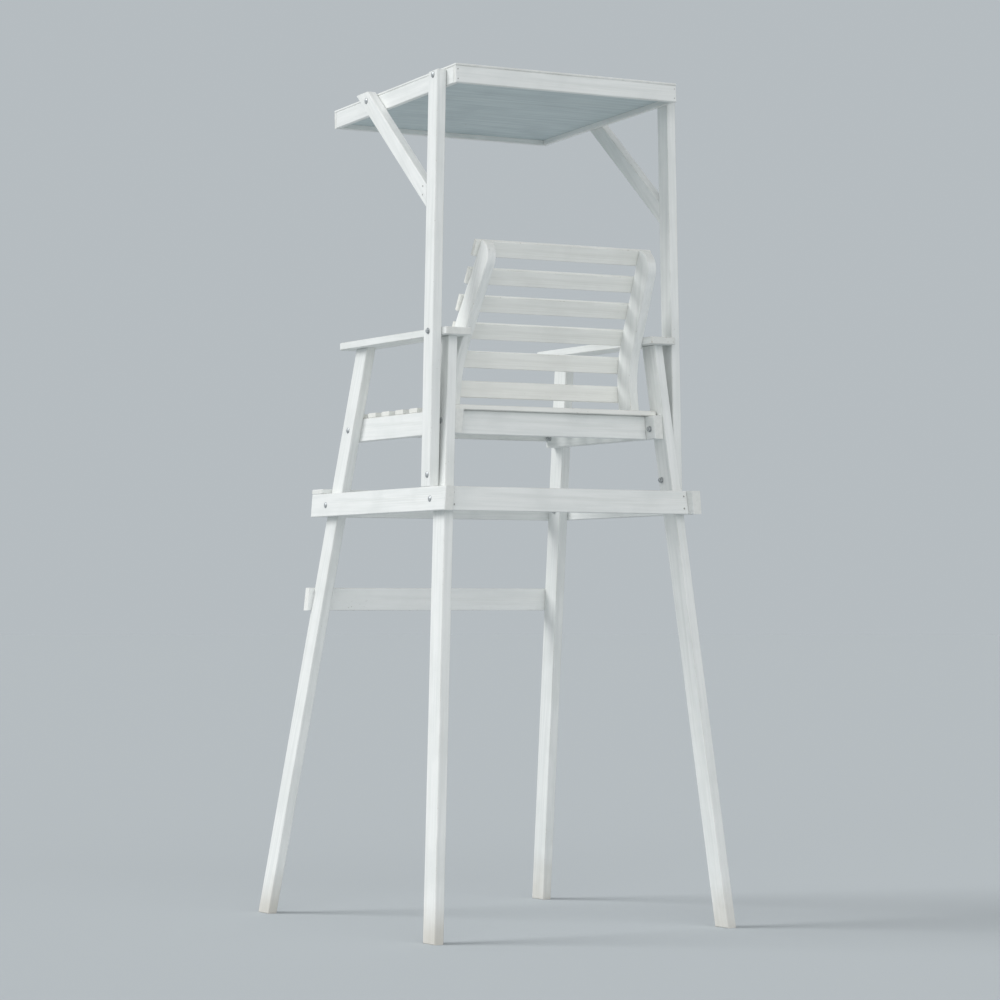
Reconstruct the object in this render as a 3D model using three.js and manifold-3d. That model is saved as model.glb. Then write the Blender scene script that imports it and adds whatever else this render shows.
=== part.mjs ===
// Lifeguard chair: a tall bolted timber stand with a slatted seat, a bowed slatted back, armrests
// and a flat roof. Millimetres, +Z up. The origin is on the ground in the middle of the footprint,
// and the sitter faces -Y, so the sitter's left hand is on the +X side.
import * as THREE from "three";
import { mergeVertices } from "three/addons/utils/BufferGeometryUtils.js";
import Module from "manifold-3d";

const wasm = await Module();
wasm.setup();

// Timber as it comes planed from the yard
const framingThickness = 38;
const framingWidth = 90;
const boardThickness = 19;
const boardWidth = 64;
const arris = 2.5; // every long edge is eased
const fitGap = 0.3; // painted faces that meet
const overrun = 5; // how far a drill runs past the timber

// Whole stand. Each height is measured from what stands below it.
const footprintWidth = 1310;
const footprintDepth = 1494;
const platformHeight = 1582; // underside of the platform rails
const seatRise = 203; // clear height from the platform rails to the seat's side rails
const armRise = 275; // from the tops of the seat's side rails to the tops of the legs
const roofRise = 1010; // from the tops of the legs to the roof's rear edge
const legTopWidth = 944; // over the outer faces of the leg tops
const frontLegTopReach = 242; // front edge of a front leg's top, ahead of the middle
const rearLegTopReach = 516; // rear edge of a rear leg's top, behind the middle

// Ladder step and platform
const stepRoom = 280; // clear height from the step to the platform rails
const stepOverhang = 15; // past the outer face of a front leg, at the step's foot
const platformFrontOverhang = 92; // the side rails run this far past the front legs
const platformRearOverhang = 78;

// Seat
const seatSlatCount = 6;
const seatSlatPitch = 115;
const slatRoom = 3; // a slat stops this far from a leg or a stile
const railEndInset = 6; // a side rail stops short of the rear leg's edge

// Back
const stileFrontReach = 345; // front edge of the stile's foot, behind the middle
const stileBendStart = 175; // straight part of the stile above its foot
const stileBendRadius = 400; // to the middle of the stile's width
const stileBendAngle = THREE.MathUtils.degToRad(28);
const stileUpperLength = 385; // straight part above the bend
const stileTopRadius = 70; // rounded rear corner
const stileNoseRadius = 10; // rounded front corner
const backSlatCount = 6;
const backSlatRoom = 38; // clear height from the seat's slats to the lowest back slat
const topSlatInset = 38; // middle of the top slat, below the stile's end
const topSlatOverhang = 20;
const backSlatOverhang = 12;

// Armrests
const armThickness = 28;
const armFrontReach = 340;
const armRearReach = 560;
const armFrontRadius = 28;
const armRearRadius = 9;

// Roof posts and braces
const postWidth = 72;
const postMiddleReach = 490; // middle of the post, behind the middle of the footprint
const postLeanShare = 0.25; // of the legs' inward lean
const postTopDrop = 12; // the post's top is cut this far below the roof
const braceDrop = 485; // from the roof's rear edge down to where the brace's centre line meets the post
const braceAngle = THREE.MathUtils.degToRad(40);
const braceProud = 8; // the brace's end stands above the roof's edge

// Roof
const roofDepth = 1010;
const roofFall = 45; // from the rear edge to the front edge
const roofRearReach = 596;
const deckThickness = 9;
const ceilingThickness = 6;
const rafterDepth = 38;
const rafterWidth = 38;

// Coach bolts and coach screws
const boltDiameter = 10;
const screwDiameter = 8;
const holeClearance = 0.5; // all round a shank
const boltHeadDiameter = 24;
const boltHeadRise = 5;
const headRimThickness = 1.5;
const domeLevelShares = [2 / 3, 1 / 3]; // levels of a head's dome, as shares of its rise above the rim
const washerDiameter = 24;
const washerThickness = 2;
const nutAcrossFlats = 17;
const nutThickness = 8;
const threadEnd = 4; // thread that shows past the nut
const threadChamfer = 1.5;
const screwHeadAcrossFlats = 13;
const screwHeadThickness = 5.5;
const screwBite = 55; // depth of a coach screw in the second timber
const screwPointLength = 10;
const washerRoom = 3; // a washer stays this far from the next timber
const postFootBoltHeight = 45; // above the platform rail
const turnedSides = 12;
const hexSides = 6;
const cornerSides = 12;

const whitePaint = new THREE.MeshStandardMaterial({ color: 0xeceae4, roughness: 0.55, metalness: 0 });
const slatPaint = new THREE.MeshStandardMaterial({ color: 0xe2ddd2, roughness: 0.6, metalness: 0 });
const ceilingPaint = new THREE.MeshStandardMaterial({ color: 0x8d9591, roughness: 0.7, metalness: 0 });
const galvanized = new THREE.MeshStandardMaterial({ color: 0x8f9496, roughness: 0.45, metalness: 0.9 });

const platformTop = platformHeight + framingWidth;
const seatRailHeight = platformTop + seatRise; // underside of the seat's side rails
const seatRailTop = seatRailHeight + framingWidth;
const legHeight = seatRailTop + armRise;
const overallHeight = legHeight + roofRise;

// The lean of the legs, as travel for each unit of height: both side frames lean inwards,
// the front legs lean back and the rear legs lean forwards. Across and depth are level widths.
const sideLean = (footprintWidth - legTopWidth) / 2 / legHeight;
const frontLean = (footprintDepth / 2 - frontLegTopReach) / legHeight;
const rearLean = (footprintDepth / 2 - rearLegTopReach) / legHeight;
const sideLeanAngle = Math.atan(sideLean);
const framingAcross = framingThickness * Math.hypot(1, sideLean);
const frontLegDepth = framingWidth * Math.hypot(1, frontLean);
const rearLegDepth = framingWidth * Math.hypot(1, rearLean);

// The planes that the side frames are built on, at a height
const legOuterX = (z) => footprintWidth / 2 - sideLean * z;
const legInnerX = (z) => legOuterX(z) - framingAcross;
const seatRailOuterX = (z) => legInnerX(z) - fitGap;
const seatRailInnerX = (z) => seatRailOuterX(z) - framingAcross;
const stileOuterX = (z) => seatRailInnerX(z) - fitGap;
const platformRailInnerX = (z) => legOuterX(z) + fitGap;
const frontLegFrontY = (z) => frontLean * z - footprintDepth / 2;
const rearLegRearY = (z) => footprintDepth / 2 - rearLean * z;
const frontLegMiddleY = (z) => frontLegFrontY(z) + frontLegDepth / 2;
const rearLegMiddleY = (z) => rearLegRearY(z) - rearLegDepth / 2;

// Places that the driving sizes give
const stepHeight = platformHeight - stepRoom - framingWidth; // underside of the step
const platformFrontReach = platformFrontOverhang - frontLegFrontY(platformTop);
const platformRearReach = platformRearOverhang + rearLegRearY(platformTop);
const armBottom = legHeight + fitGap;
const armTop = armBottom + armThickness;
const stileRearReach = stileFrontReach + framingWidth;

// The roof falls to the front, and this is the height of its top face above a place on the ground
const roofAngle = Math.asin(roofFall / roofDepth);
const roofTopZ = (y) => overallHeight - (roofRearReach - y) * Math.tan(roofAngle);

// The posts stand on the platform's side rails and lean inwards to the roof's edge boards
const postFrontY = postMiddleReach - postWidth / 2;
const postRearY = postMiddleReach + postWidth / 2;
const postFoot = platformTop + fitGap;
const postTop = roofTopZ(postRearY) - postTopDrop;
const postLean = sideLean * postLeanShare;
const postAcross = framingThickness * Math.hypot(1, postLean);
const postInnerX = (z) => legOuterX(platformTop) + fitGap - postLean * (z - postFoot);
const postOuterX = (z) => postInnerX(z) + postAcross;
const roofHalfWidth = postInnerX(postTop) - fitGap;

const chair = new THREE.Group();
const pieces = {};

function addPiece(group, name, geometry, material) {
  const mesh = new THREE.Mesh(geometry, material);
  mesh.name = name;
  pieces[name] = mesh;
  group.add(mesh);
  return mesh;
}

function addGroup(parent) {
  const group = new THREE.Group();
  parent.add(group);
  return group;
}

// Left is the +X side, and every right-hand piece is drawn as the mirror image of the left one
const sides = [
  { label: "left", sign: 1 },
  { label: "right", sign: -1 },
];

// Shapes that boards are cut to
function polygon(points) {
  return new THREE.Shape(points.map(([across, up]) => new THREE.Vector2(across, up)));
}

function rectangle(left, bottom, right, top) {
  return polygon([
    [left, bottom],
    [right, bottom],
    [right, top],
    [left, top],
  ]);
}

// A board of any outline, with the long edges of both faces eased
function easedBoard(shape, thickness) {
  const geometry = new THREE.ExtrudeGeometry(shape, {
    depth: thickness - arris * 2,
    bevelThickness: arris,
    bevelSize: arris,
    bevelOffset: -arris,
    bevelSegments: 1,
    curveSegments: cornerSides,
  });
  return geometry.translate(0, 0, arris);
}

// Thin plywood, with square edges
function sheet(shape, thickness) {
  return new THREE.ExtrudeGeometry(shape, { depth: thickness, bevelEnabled: false });
}

function leaning(geometry, leanX, leanY) {
  const lean = new THREE.Matrix4().set(1, 0, leanX, 0, 0, 1, leanY, 0, 0, 0, 1, 0, 0, 0, 0, 1);
  return geometry.applyMatrix4(lean);
}

// A board that stands on edge from front to rear: its outline is drawn in [y, z],
// and its inner face is at x = 0
function sideBoard(shape, thickness, sign, lean) {
  const geometry = easedBoard(shape, thickness);
  if (sign < 0) geometry.translate(0, 0, -thickness);
  const axes = new THREE.Matrix4().makeBasis(
    new THREE.Vector3(0, 1, 0),
    new THREE.Vector3(0, 0, 1),
    new THREE.Vector3(1, 0, 0),
  );
  return leaning(geometry.applyMatrix4(axes), -sign * lean, 0);
}

// A board that stands on edge from side to side: its outline is drawn in [x, z],
// and its rear face is at y = 0
function crossBoard(shape, thickness, lean) {
  return leaning(easedBoard(shape, thickness).rotateX(Math.PI / 2), 0, lean);
}

// A cross board whose ends are cut to the lean of the side frames, between two planes at its own height
function crossOutline(halfLengthAt, bottom, height) {
  return polygon([
    [-halfLengthAt(bottom), 0],
    [halfLengthAt(bottom), 0],
    [halfLengthAt(bottom + height), height],
    [-halfLengthAt(bottom + height), height],
  ]);
}

// A leg, drawn from its foot: level cuts at the sole and at the top
function legOutline(depth, run) {
  return polygon([
    [0, 0],
    [depth, 0],
    [depth + run, legHeight],
    [run, legHeight],
  ]);
}

function addLegs() {
  const group = addGroup(chair);
  for (const { label, sign } of sides) {
    const soleX = sign * (legOuterX(0) - framingAcross);
    const frontShape = legOutline(frontLegDepth, frontLean * legHeight);
    const front = sideBoard(frontShape, framingAcross, sign, sideLean);
    const frontPlace = addPiece(group, `front_leg_${label}`, front, whitePaint).position;
    frontPlace.set(soleX, frontLegFrontY(0), 0);
    const rearShape = legOutline(rearLegDepth, -rearLean * legHeight);
    const rear = sideBoard(rearShape, framingAcross, sign, sideLean);
    const rearPlace = addPiece(group, `rear_leg_${label}`, rear, whitePaint).position;
    rearPlace.set(soleX, rearLegRearY(0) - rearLegDepth, 0);
  }
}

// The step's ends stand out past the legs, as a hand or foot hold at each side
function addLadderStep() {
  const halfLength = legOuterX(stepHeight) + stepOverhang;
  const shape = rectangle(-halfLength, 0, halfLength, framingWidth);
  const step = crossBoard(shape, framingThickness, frontLean);
  const place = addPiece(chair, "ladder_step", step, whitePaint).position;
  place.set(0, frontLegFrontY(stepHeight) - fitGap, stepHeight);
}

function addPlatform() {
  const group = addGroup(chair);
  const railShape = rectangle(-platformFrontReach, 0, platformRearReach, framingWidth);
  for (const { label, sign } of sides) {
    const rail = sideBoard(railShape, framingAcross, sign, sideLean);
    const place = addPiece(group, `platform_side_rail_${label}`, rail, whitePaint).position;
    place.set(sign * platformRailInnerX(platformHeight), 0, platformHeight);
  }
  const crossShape = crossOutline(legOuterX, platformHeight, framingWidth);
  const frontRail = crossBoard(crossShape, framingThickness, frontLean);
  const frontY = frontLegFrontY(platformHeight) - fitGap;
  addPiece(group, "platform_front_rail", frontRail, whitePaint).position.set(0, frontY, platformHeight);
  const rearRail = crossBoard(crossShape, framingThickness, -rearLean);
  const rearY = rearLegRearY(platformHeight) + fitGap + framingThickness;
  addPiece(group, "platform_rear_rail", rearRail, whitePaint).position.set(0, rearY, platformHeight);

  const boardHalf = platformRailInnerX(platformTop) + framingAcross;
  const boardRear = framingWidth - platformFrontReach;
  const boardShape = rectangle(-boardHalf, -platformFrontReach, boardHalf, boardRear);
  const footBoard = easedBoard(boardShape, boardThickness);
  addPiece(group, "foot_board", footBoard, whitePaint).position.z = platformTop + fitGap;
}

// The seat's slats are laid from the stiles forwards, and the frame's front follows the first slat
const seatSlatZ = seatRailTop + fitGap;
const rearmostSlatY = stileFrontReach - slatRoom - boardWidth / 2;
const seatSlatY = (index) => rearmostSlatY - seatSlatPitch * (seatSlatCount - 1 - index);
const seatFrontY = seatSlatY(0) - boardWidth / 2;

function addSeatFrame(group) {
  const railRearY = rearLegRearY(seatRailTop) - railEndInset;
  const railShape = rectangle(seatFrontY, 0, railRearY, framingWidth);
  for (const { label, sign } of sides) {
    const rail = sideBoard(railShape, framingAcross, sign, sideLean);
    const place = addPiece(group, `seat_side_rail_${label}`, rail, whitePaint).position;
    place.set(sign * seatRailInnerX(seatRailHeight), 0, seatRailHeight);
  }
  const frontBottom = seatRailTop - boardWidth;
  const frontRail = crossBoard(crossOutline(stileOuterX, frontBottom, boardWidth), boardThickness, 0);
  const frontPlace = addPiece(group, "seat_front_rail", frontRail, whitePaint).position;
  frontPlace.set(0, seatFrontY + boardThickness, frontBottom);
  const rearRail = crossBoard(crossOutline(stileOuterX, seatRailHeight, framingWidth), framingThickness, 0);
  const rearPlace = addPiece(group, "seat_rear_rail", rearRail, whitePaint).position;
  rearPlace.set(0, stileRearReach + fitGap + framingThickness, seatRailHeight);
}

function addSeatSlats(group) {
  const halfLength = legInnerX(seatSlatZ + boardThickness) - slatRoom;
  const shape = rectangle(-halfLength, -boardWidth / 2, halfLength, boardWidth / 2);
  for (let index = 0; index < seatSlatCount; index++) {
    const slat = addPiece(group, `seat_slat_${index + 1}`, easedBoard(shape, boardThickness), slatPaint);
    slat.position.set(0, seatSlatY(index), seatSlatZ);
  }
  const rearSlat = addPiece(group, "seat_rear_slat", easedBoard(shape, boardThickness), slatPaint);
  rearSlat.position.set(0, stileRearReach + fitGap + boardWidth / 2, seatSlatZ);
}

// The bowed back. A stile is sawn from a wide board: upright at the seat, then an arc, then straight.
// This gives the place and slope at a distance up a line that runs ahead of the stile's middle line.
const bendCentreY = stileFrontReach + framingWidth / 2 + stileBendRadius;

function alongStile(distance, ahead) {
  const radius = stileBendRadius + ahead;
  const arcLength = radius * stileBendAngle;
  const inBend = THREE.MathUtils.clamp(distance - stileBendStart, 0, arcLength);
  const angle = inBend / radius;
  const before = Math.min(distance, stileBendStart);
  const after = Math.max(distance - stileBendStart - arcLength, 0);
  return {
    y: bendCentreY - radius * Math.cos(angle) + after * Math.sin(angle),
    z: before + radius * Math.sin(angle) + after * Math.cos(angle),
    angle,
  };
}

function stileLineLength(ahead) {
  return stileBendStart + (stileBendRadius + ahead) * stileBendAngle + stileUpperLength;
}

function stileShape() {
  const half = framingWidth / 2;
  const outline = new THREE.Shape();
  outline.moveTo(stileRearReach, 0);
  outline.lineTo(stileRearReach, stileBendStart);
  const arcFrom = Math.PI;
  const arcTo = Math.PI - stileBendAngle;
  outline.absarc(bendCentreY, stileBendStart, stileBendRadius - half, arcFrom, arcTo, true);
  // The rear corner is rounded by an arc that touches the rear edge and the top cut
  const rearTop = alongStile(stileLineLength(-half), -half);
  const upright = Math.PI / 2 - stileBendAngle;
  const towardFoot = new THREE.Vector2(-Math.sin(stileBendAngle), -Math.cos(stileBendAngle));
  const towardFront = new THREE.Vector2(-Math.cos(stileBendAngle), Math.sin(stileBendAngle));
  const rearCorner = new THREE.Vector2(rearTop.y, rearTop.z);
  const rearCentre = rearCorner
    .clone()
    .addScaledVector(towardFoot, stileTopRadius)
    .addScaledVector(towardFront, stileTopRadius);
  const rearFacing = -stileBendAngle;
  outline.absarc(rearCentre.x, rearCentre.y, stileTopRadius, rearFacing, upright, false);
  const noseCentre = rearCorner
    .clone()
    .addScaledVector(towardFoot, stileNoseRadius)
    .addScaledVector(towardFront, framingWidth - stileNoseRadius);
  outline.absarc(noseCentre.x, noseCentre.y, stileNoseRadius, upright, Math.PI - stileBendAngle, false);
  outline.absarc(bendCentreY, stileBendStart, stileBendRadius + half, arcTo, arcFrom, false);
  outline.lineTo(stileFrontReach, 0);
  return outline;
}

function addBack(group) {
  for (const { label, sign } of sides) {
    const stile = sideBoard(stileShape(), framingAcross, sign, sideLean);
    const place = addPiece(group, `back_stile_${label}`, stile, whitePaint).position;
    place.set(sign * (stileOuterX(seatRailHeight) - framingAcross), 0, seatRailHeight);
  }
  const ahead = framingWidth / 2 + fitGap;
  const lowest = seatSlatZ + boardThickness + backSlatRoom + boardWidth / 2 - seatRailHeight;
  const highest = stileLineLength(ahead) - topSlatInset;
  for (let index = 0; index < backSlatCount; index++) {
    const distance = highest - ((highest - lowest) * index) / (backSlatCount - 1);
    const spot = alongStile(distance, ahead);
    const height = seatRailHeight + spot.z;
    const crossesArm = height + boardWidth / 2 > armBottom && height - boardWidth / 2 < armTop;
    const lowOverhang = crossesArm ? 0 : backSlatOverhang;
    const overhang = index === 0 ? topSlatOverhang : lowOverhang;
    const halfLength = stileOuterX(height + boardWidth / 2) + overhang;
    const shape = rectangle(-halfLength, -boardWidth / 2, halfLength, boardWidth / 2);
    const slat = addPiece(group, `back_slat_${index + 1}`, crossBoard(shape, boardThickness, 0), slatPaint);
    slat.position.set(0, spot.y, height);
    slat.rotation.x = -spot.angle;
  }
}

function addArmrests(group) {
  const innerX = stileOuterX(armBottom) + fitGap;
  const outerX = postInnerX(armTop) - fitGap;
  for (const { label, sign } of sides) {
    const left = sign > 0 ? innerX : -outerX;
    const right = sign > 0 ? outerX : -innerX;
    const frontY = armFrontRadius - armFrontReach;
    const rearY = armRearReach - armRearRadius;
    const shape = new THREE.Shape();
    shape.absarc(right - armFrontRadius, frontY, armFrontRadius, -Math.PI / 2, 0, false);
    shape.absarc(right - armRearRadius, rearY, armRearRadius, 0, Math.PI / 2, false);
    shape.absarc(left + armRearRadius, rearY, armRearRadius, Math.PI / 2, Math.PI, false);
    shape.absarc(left + armFrontRadius, frontY, armFrontRadius, Math.PI, -Math.PI / 2, false);
    addPiece(group, `armrest_${label}`, easedBoard(shape, armThickness), whitePaint).position.z = armBottom;
  }
}

// Levels in the roof, below its top face
const edgeBoardTop = -deckThickness - fitGap;
const rafterBottom = edgeBoardTop - rafterDepth;
const ceilingTop = rafterBottom - fitGap;
// The bolts through the edge boards are this far straight down from the top face
const roofBoltDrop = -(edgeBoardTop + ceilingTop) / 2 / Math.cos(roofAngle);

function addRoofPosts(group) {
  const shape = polygon([
    [postFrontY, 0],
    [postRearY, 0],
    [postRearY, postTop - postFoot],
    [postFrontY, roofTopZ(postFrontY) - postTopDrop - postFoot],
  ]);
  for (const { label, sign } of sides) {
    const post = sideBoard(shape, postAcross, sign, postLean);
    const place = addPiece(group, `roof_post_${label}`, post, whitePaint).position;
    place.set(sign * postInnerX(postFoot), 0, postFoot);
  }
}

// The point where a line along the brace, at a rise above its centre line, meets a line along the roof
const braceSlope = Math.tan(braceAngle);
const braceHalfRise = boardWidth / 2 / Math.cos(braceAngle);
const braceFootY = postFrontY - fitGap;

function onBrace(rise, aboveRoof) {
  const climb = roofTopZ(braceFootY) + aboveRoof - (overallHeight - braceDrop) - rise;
  const y = braceFootY - climb / (braceSlope + Math.tan(roofAngle));
  return [y, roofTopZ(y) + aboveRoof];
}

function addBraces(group) {
  const shape = polygon([
    [braceFootY, overallHeight - braceDrop - braceHalfRise],
    [braceFootY, overallHeight - braceDrop + braceHalfRise],
    onBrace(braceHalfRise, braceProud),
    onBrace(-braceHalfRise, braceProud),
  ]);
  for (const { label, sign } of sides) {
    const brace = sideBoard(shape, postAcross, sign, postLean);
    addPiece(group, `roof_brace_${label}`, brace, whitePaint).position.x = sign * postInnerX(0);
  }
}

// The roof is a shallow box: edge boards and one rafter between a plywood deck and a plywood ceiling.
// Its group is hung from the rear edge of the deck and turned to the fall of the roof.
function addRoof() {
  const roof = addGroup(chair);
  roof.position.set(0, roofRearReach, overallHeight);
  roof.rotation.x = roofAngle;
  const deckShape = rectangle(-roofHalfWidth, -roofDepth, roofHalfWidth, 0);
  addPiece(roof, "roof_deck", easedBoard(deckShape, deckThickness), whitePaint).position.z = -deckThickness;

  const boardBottom = edgeBoardTop - boardWidth;
  const endShape = rectangle(-roofHalfWidth, 0, roofHalfWidth, boardWidth);
  for (const [end, rearFace] of [["front", boardThickness - roofDepth], ["rear", 0]]) {
    const board = crossBoard(endShape, boardThickness, 0);
    addPiece(roof, `roof_${end}_board`, board, whitePaint).position.set(0, rearFace, boardBottom);
  }

  const insideFront = boardThickness + fitGap - roofDepth;
  const insideRear = -boardThickness - fitGap;
  const sideShape = rectangle(insideFront, 0, insideRear, boardWidth);
  for (const { label, sign } of sides) {
    const board = sideBoard(sideShape, boardThickness, sign, 0);
    const place = addPiece(roof, `roof_side_board_${label}`, board, whitePaint).position;
    place.set(sign * (roofHalfWidth - boardThickness), 0, boardBottom);
  }
  const insideHalf = roofHalfWidth - boardThickness - fitGap;
  const rafterShape = rectangle(-rafterWidth / 2, insideFront, rafterWidth / 2, insideRear);
  addPiece(roof, "roof_rafter", easedBoard(rafterShape, rafterDepth), whitePaint).position.z = rafterBottom;
  const ceilingShape = rectangle(-insideHalf, insideFront, insideHalf, insideRear);
  const ceiling = addPiece(roof, "roof_ceiling", sheet(ceilingShape, ceilingThickness), ceilingPaint);
  ceiling.position.z = ceilingTop - ceilingThickness;
}

// Joining and cutting of closed shapes
function solidFrom(geometry) {
  const bare = geometry.clone();
  bare.deleteAttribute("normal");
  bare.deleteAttribute("uv");
  const merged = mergeVertices(bare);
  const vertProperties = merged.attributes.position.array;
  return new wasm.Manifold(new wasm.Mesh({ numProp: 3, vertProperties, triVerts: merged.index.array }));
}

function geometryFrom(solid) {
  const mesh = solid.getMesh();
  const geometry = new THREE.BufferGeometry();
  geometry.setAttribute("position", new THREE.BufferAttribute(mesh.vertProperties, 3));
  geometry.setIndex(new THREE.BufferAttribute(mesh.triVerts, 1));
  geometry.computeVertexNormals();
  return geometry;
}

// A bar along +Z between two levels, round or with flat sides
function prism(radius, from, to, sideCount) {
  const geometry = new THREE.CylinderGeometry(radius, radius, to - from, sideCount);
  return geometry.rotateX(Math.PI / 2).translate(0, 0, (from + to) / 2);
}

function hexBlock(acrossFlats, from, to) {
  return prism(acrossFlats / 2 / Math.cos(Math.PI / hexSides), from, to, hexSides);
}

// A turned piece from [radius, level] points, from its lowest level to its highest
function turned(profile) {
  const points = profile.map(([radius, level]) => new THREE.Vector2(radius, level));
  return new THREE.LatheGeometry(points, turnedSides).rotateX(Math.PI / 2);
}

// A coach bolt, its washer and its nut as one piece. Its head's seat is at level 0, and it runs up +Z
// through the timber.
function coachBolt(grip) {
  const shank = boltDiameter / 2;
  const head = boltHeadDiameter / 2;
  const washerSeat = grip + fitGap;
  const nutSeat = washerSeat + washerThickness;
  const end = nutSeat + nutThickness + threadEnd;
  const crown = -fitGap - boltHeadRise;
  const rim = -fitGap - headRimThickness;
  const domeRadius = (share) => head * Math.sqrt(1 - share ** 2);
  const dome = domeLevelShares.map((share) => [domeRadius(share), rim + (crown - rim) * share]);
  const body = turned([
    [0, crown],
    ...dome,
    [head, rim],
    [head, -fitGap],
    [shank, -fitGap],
    [shank, washerSeat],
    [washerDiameter / 2, washerSeat],
    [washerDiameter / 2, nutSeat],
    [shank, nutSeat],
    [shank, end - threadChamfer],
    [shank - threadChamfer, end],
    [0, end],
  ]);
  const nut = hexBlock(nutAcrossFlats, nutSeat, nutSeat + nutThickness);
  return geometryFrom(solidFrom(body).add(solidFrom(nut)));
}

function coachScrew(grip) {
  const shank = screwDiameter / 2;
  const washer = -fitGap - washerThickness;
  const point = grip + screwBite;
  const body = turned([
    [0, washer],
    [washerDiameter / 2, washer],
    [washerDiameter / 2, -fitGap],
    [shank, -fitGap],
    [shank, point - screwPointLength],
    [0, point],
  ]);
  const head = hexBlock(screwHeadAcrossFlats, washer - screwHeadThickness, washer);
  return geometryFrom(solidFrom(body).add(solidFrom(head)));
}

// Drills a hole along a fastener's own axis through a piece that already has its place
function drill(piece, fastener, radius, depth) {
  const hole = prism(radius + holeClearance, -overrun, depth, turnedSides);
  fastener.updateWorldMatrix(true, false);
  piece.updateWorldMatrix(true, false);
  hole.applyMatrix4(fastener.matrixWorld).applyMatrix4(piece.matrixWorld.clone().invert());
  piece.geometry = geometryFrom(solidFrom(piece.geometry).subtract(solidFrom(hole)));
}

// Puts a fastener with its head's seat at a point of the left side, or at that point's mirror image,
// running inwards. A tilt of the lean angle sets it square to the side frames, and 0 leaves it level.
function addFastener(group, name, geometry, sign, [x, y, z], tilt) {
  const fastener = addPiece(group, name, geometry, galvanized);
  fastener.position.set(sign * x, y, z);
  fastener.rotation.set(0, -sign * (Math.PI / 2 + tilt), 0);
  return fastener;
}

function boltThrough(group, name, joined, sign, headSeat, grip, tilt) {
  const bolt = addFastener(group, name, coachBolt(grip), sign, headSeat, tilt);
  for (const piece of joined) drill(pieces[piece], bolt, boltDiameter / 2, grip + overrun);
}

// A bolt through two framing timbers of a side frame
function frameBolt(group, name, joined, sign, headSeat) {
  boltThrough(group, name, joined, sign, headSeat, framingThickness * 2 + fitGap, sideLeanAngle);
}

function addPlatformBolts(group) {
  const z = platformHeight + framingWidth / 2;
  const x = platformRailInnerX(z) + framingAcross;
  for (const { label, sign } of sides) {
    const rail = `platform_side_rail_${label}`;
    const front = [rail, `front_leg_${label}`];
    frameBolt(group, `platform_front_bolt_${label}`, front, sign, [x, frontLegMiddleY(z), z]);
    const rear = [rail, `rear_leg_${label}`];
    frameBolt(group, `platform_rear_bolt_${label}`, rear, sign, [x, rearLegMiddleY(z), z]);
  }
}

function addSeatBolts(group) {
  const z = seatRailHeight + framingWidth / 2;
  const frontY = seatFrontY + boardThickness + washerRoom + washerDiameter / 2;
  const stileY = stileFrontReach + framingWidth / 2;
  for (const { label, sign } of sides) {
    const rail = `seat_side_rail_${label}`;
    const front = [rail, `front_leg_${label}`];
    frameBolt(group, `seat_front_bolt_${label}`, front, sign, [legOuterX(z), frontY, z]);
    const rear = [rail, `rear_leg_${label}`];
    frameBolt(group, `seat_rear_bolt_${label}`, rear, sign, [legOuterX(z), rearLegMiddleY(z), z]);
    const stile = [rail, `back_stile_${label}`];
    frameBolt(group, `stile_bolt_${label}`, stile, sign, [seatRailOuterX(z), stileY, z]);
  }
}

// The posts lean less than the legs do, so their bolts are level, and the foot bolts reach the leg's far edge
function addPostBolts(group) {
  const headSeat = (y, z) => [postOuterX(z) + postLean * boltHeadDiameter / 2, y, z];
  const footZ = platformTop + postFootBoltHeight;
  const footSeat = headSeat((postRearY + rearLegRearY(footZ) - rearLegDepth) / 2, footZ);
  const footGrip = footSeat[0] - legInnerX(footZ + washerDiameter / 2);
  const boardInnerX = roofHalfWidth - boardThickness;
  const topSeat = headSeat(postMiddleReach, roofTopZ(postMiddleReach) - roofBoltDrop);
  const braceSeat = headSeat(...onBrace(0, -roofBoltDrop));
  for (const { label, sign } of sides) {
    const post = `roof_post_${label}`;
    const foot = [post, `rear_leg_${label}`];
    boltThrough(group, `post_foot_bolt_${label}`, foot, sign, footSeat, footGrip, 0);
    const top = [post, `roof_side_board_${label}`];
    boltThrough(group, `post_top_bolt_${label}`, top, sign, topSeat, topSeat[0] - boardInnerX, 0);
    const brace = [`roof_brace_${label}`, `roof_side_board_${label}`];
    boltThrough(group, `brace_bolt_${label}`, brace, sign, braceSeat, braceSeat[0] - boardInnerX, 0);
  }
}

function addArmrestScrews(group) {
  const z = armBottom + armThickness / 2;
  const x = postOuterX(z) + postLean * washerDiameter / 2;
  const headSeat = [x, postMiddleReach, z];
  const grip = x - postInnerX(armTop) + fitGap;
  for (const { label, sign } of sides) {
    const screw = addFastener(group, `armrest_screw_${label}`, coachScrew(grip), sign, headSeat, 0);
    const depth = grip + screwBite + holeClearance;
    for (const piece of ["roof_post", "armrest"])
      drill(pieces[`${piece}_${label}`], screw, screwDiameter / 2, depth);
  }
}

function addSeat() {
  const group = addGroup(chair);
  addSeatFrame(group);
  addSeatSlats(group);
  addBack(group);
  addArmrests(group);
}

function addCanopy() {
  const group = addGroup(chair);
  addRoofPosts(group);
  addBraces(group);
  addRoof();
}

function addFasteners() {
  const group = addGroup(chair);
  addPlatformBolts(group);
  addSeatBolts(group);
  addPostBolts(group);
  addArmrestScrews(group);
}

addLegs();
addLadderStep();
addPlatform();
addSeat();
addCanopy();
addFasteners();

export default chair;
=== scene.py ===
import math
import bpy
from mathutils import Matrix, Vector


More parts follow.
